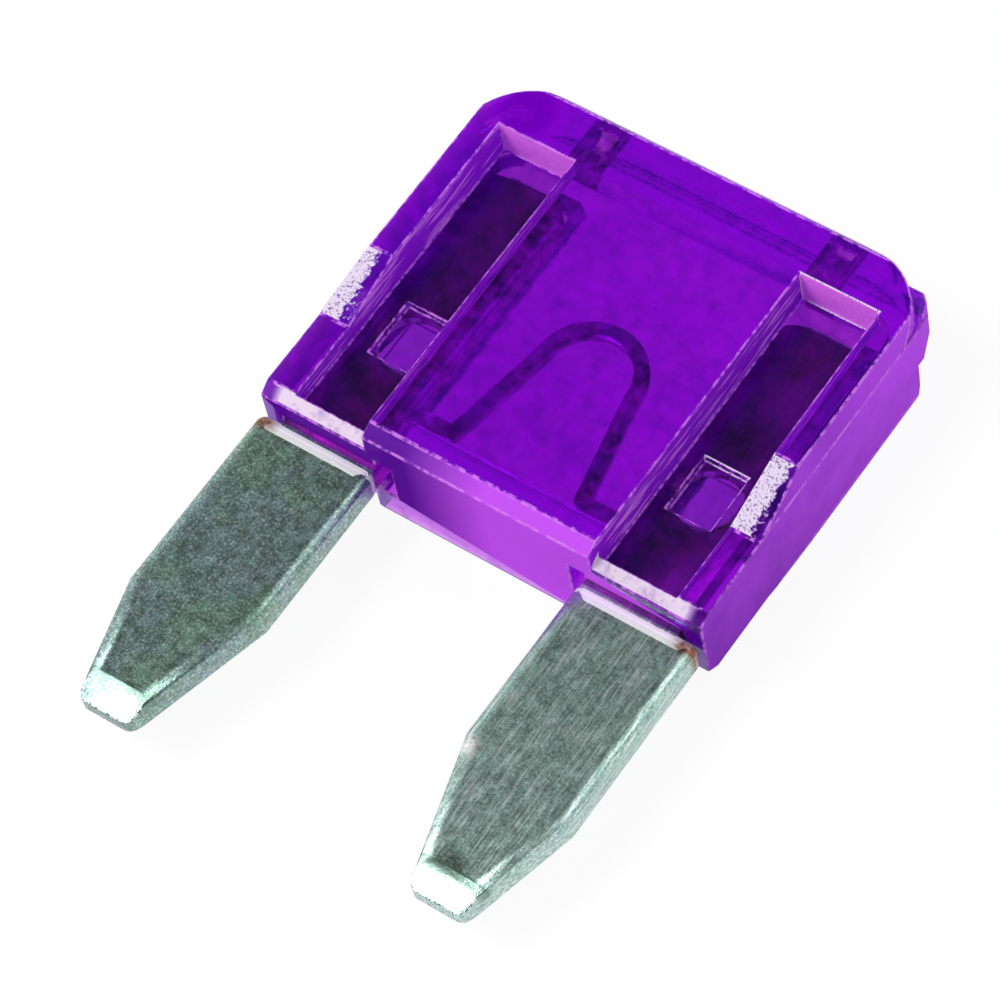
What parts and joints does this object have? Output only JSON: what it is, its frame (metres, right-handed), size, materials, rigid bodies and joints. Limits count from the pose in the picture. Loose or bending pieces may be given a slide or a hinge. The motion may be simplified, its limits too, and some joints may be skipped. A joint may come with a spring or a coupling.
{
  "type": "automotive blade fuse",
  "caption": "Miniature automotive blade fuse: translucent violet housing staked onto one stamped metal link with tapered blades and a thin arched element.",
  "frame": {"origin": "middle of the bounding box in X and Y, on the surface that the fuse lies on", "axes": "the fuse lies on its back: +X across the blades, +Y from the blade tips towards the head, +Z out of the front face"},
  "size_m": [0.011, 0.0164, 0.003],
  "materials": {
    "violet_plastic": "glossy translucent violet moulding",
    "plated_zinc": "dull tin-plated zinc with fine specks and lengthwise scratches"
  },
  "bodies": {
    "root": {"housing": "violet_plastic", "fuse_link": "plated_zinc"}
  },
  "joints": []
}
